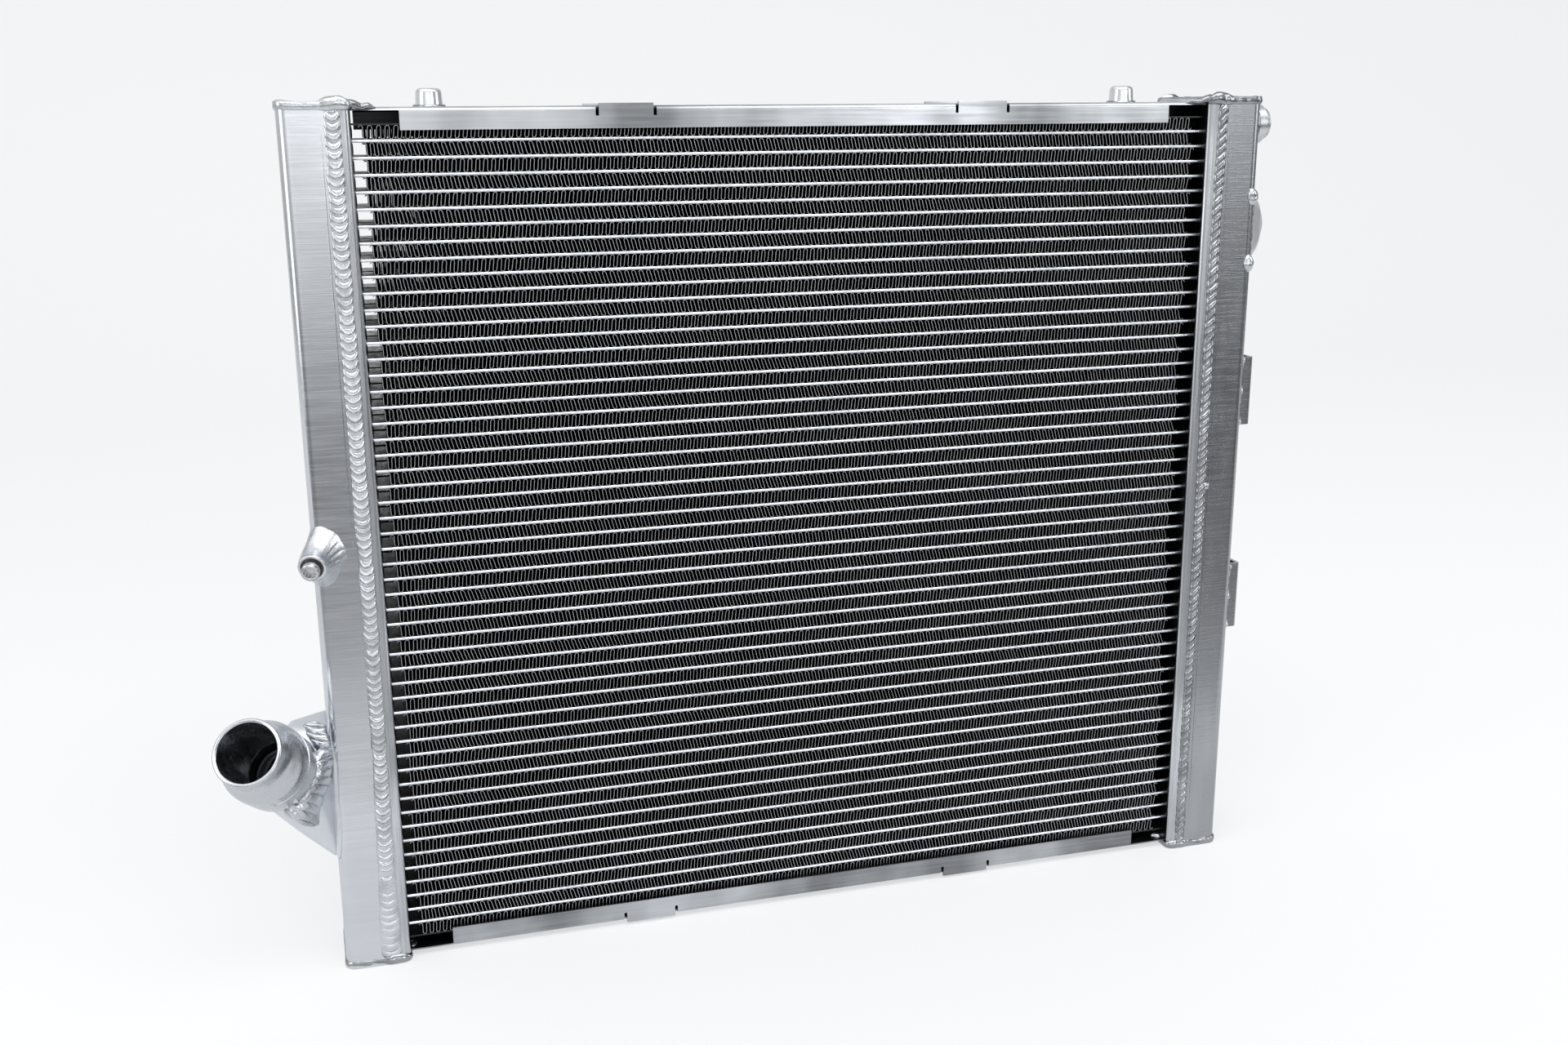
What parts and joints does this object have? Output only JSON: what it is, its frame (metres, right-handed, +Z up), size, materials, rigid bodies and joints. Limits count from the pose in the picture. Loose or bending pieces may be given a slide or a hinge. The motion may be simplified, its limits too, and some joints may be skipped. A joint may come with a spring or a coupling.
{
  "type": "car radiator",
  "caption": "Welded aluminium cross-flow car radiator: finned tube core between two side tanks, with hose necks, mounting pins and threaded plugs.",
  "frame": {"origin": "middle of the lower channel's underside, where the radiator sits in its cradle; the two side tanks end 3.5 mm below it", "axes": "+X across the core from the tank with the outlet neck to the tank with the inlet neck, +Y through the core from front to back, +Z up"},
  "size_m": [0.7729, 0.1948, 0.5635],
  "materials": {
    "tank_aluminium": "brushed",
    "tank_aluminium_dark": "brushed",
    "header_aluminium": "satin",
    "channel_aluminium": "satin, fine diagonal scratches",
    "tube_aluminium": "bright",
    "fin_aluminium": "matte, folded strip",
    "weld_aluminium": "bright rippled weld",
    "fitting_aluminium": "machined",
    "pin_polished": "polished",
    "plug_steel": "zinc plated",
    "seal_rubber": "matte"
  },
  "bodies": {
    "radiator": {"core_tubes": "tube_aluminium", "core_fins": "fin_aluminium", "top_end_plate": "header_aluminium", "bottom_end_plate": "header_aluminium", "left_header": "header_aluminium", "right_header": "header_aluminium", "left_tank": "tank_aluminium", "right_tank": "tank_aluminium_dark", "left_top_cap": "tank_aluminium", "left_bottom_cap": "tank_aluminium", "right_top_cap": "tank_aluminium_dark", "right_bottom_cap": "tank_aluminium_dark", "left_seam_welds": "weld_aluminium", "right_seam_welds": "weld_aluminium", "upper_channel": "channel_aluminium", "lower_channel": "channel_aluminium", "channel_welds": "weld_aluminium", "left_mount_pin": "pin_polished", "right_mount_pin": "pin_polished", "outlet_boss": "tank_aluminium", "outlet_neck": "fitting_aluminium", "outlet_weld": "weld_aluminium", "inlet_boss": "tank_aluminium_dark", "inlet_neck": "fitting_aluminium", "inlet_weld": "weld_aluminium", "drain_boss": "fitting_aluminium", "bleed_boss": "fitting_aluminium", "upper_bracket": "tank_aluminium_dark", "lower_bracket": "tank_aluminium_dark", "bracket_welds": "weld_aluminium"},
    "drain_washer": {"drain_seal": "seal_rubber"},
    "drain_screw": {"drain_plug": "plug_steel"},
    "bleed_washer": {"bleed_seal": "seal_rubber"},
    "bleed_screw": {"bleed_plug": "plug_steel"}
  },
  "joints": [
    {"name": "drain_travel", "type": "slide", "parent": "radiator", "child": "drain_washer", "axis": [-0.25, -0.933, -0.2588], "range_m": [0, 0.012]},
    {"name": "drain_turn", "type": "hinge", "parent": "drain_washer", "child": "drain_screw", "pos_m": [-0.3245, -0.049, 0.277], "axis": [-0.25, -0.933, -0.2588], "range_deg": [0, 2880]},
    {"name": "bleed_travel", "type": "slide", "parent": "radiator", "child": "bleed_washer", "axis": [1, 0, 0], "range_m": [0, 0.009]},
    {"name": "bleed_turn", "type": "hinge", "parent": "bleed_washer", "child": "bleed_screw", "pos_m": [0.332, -0.016, 0.534], "axis": [1, 0, 0], "range_deg": [0, 2160]}
  ],
  "couplings": [
    {"joint": "drain_travel", "follows": "drain_turn", "m_per_rad": 0.00023873},
    {"joint": "bleed_travel", "follows": "bleed_turn", "m_per_rad": 0.00023873}
  ]
}
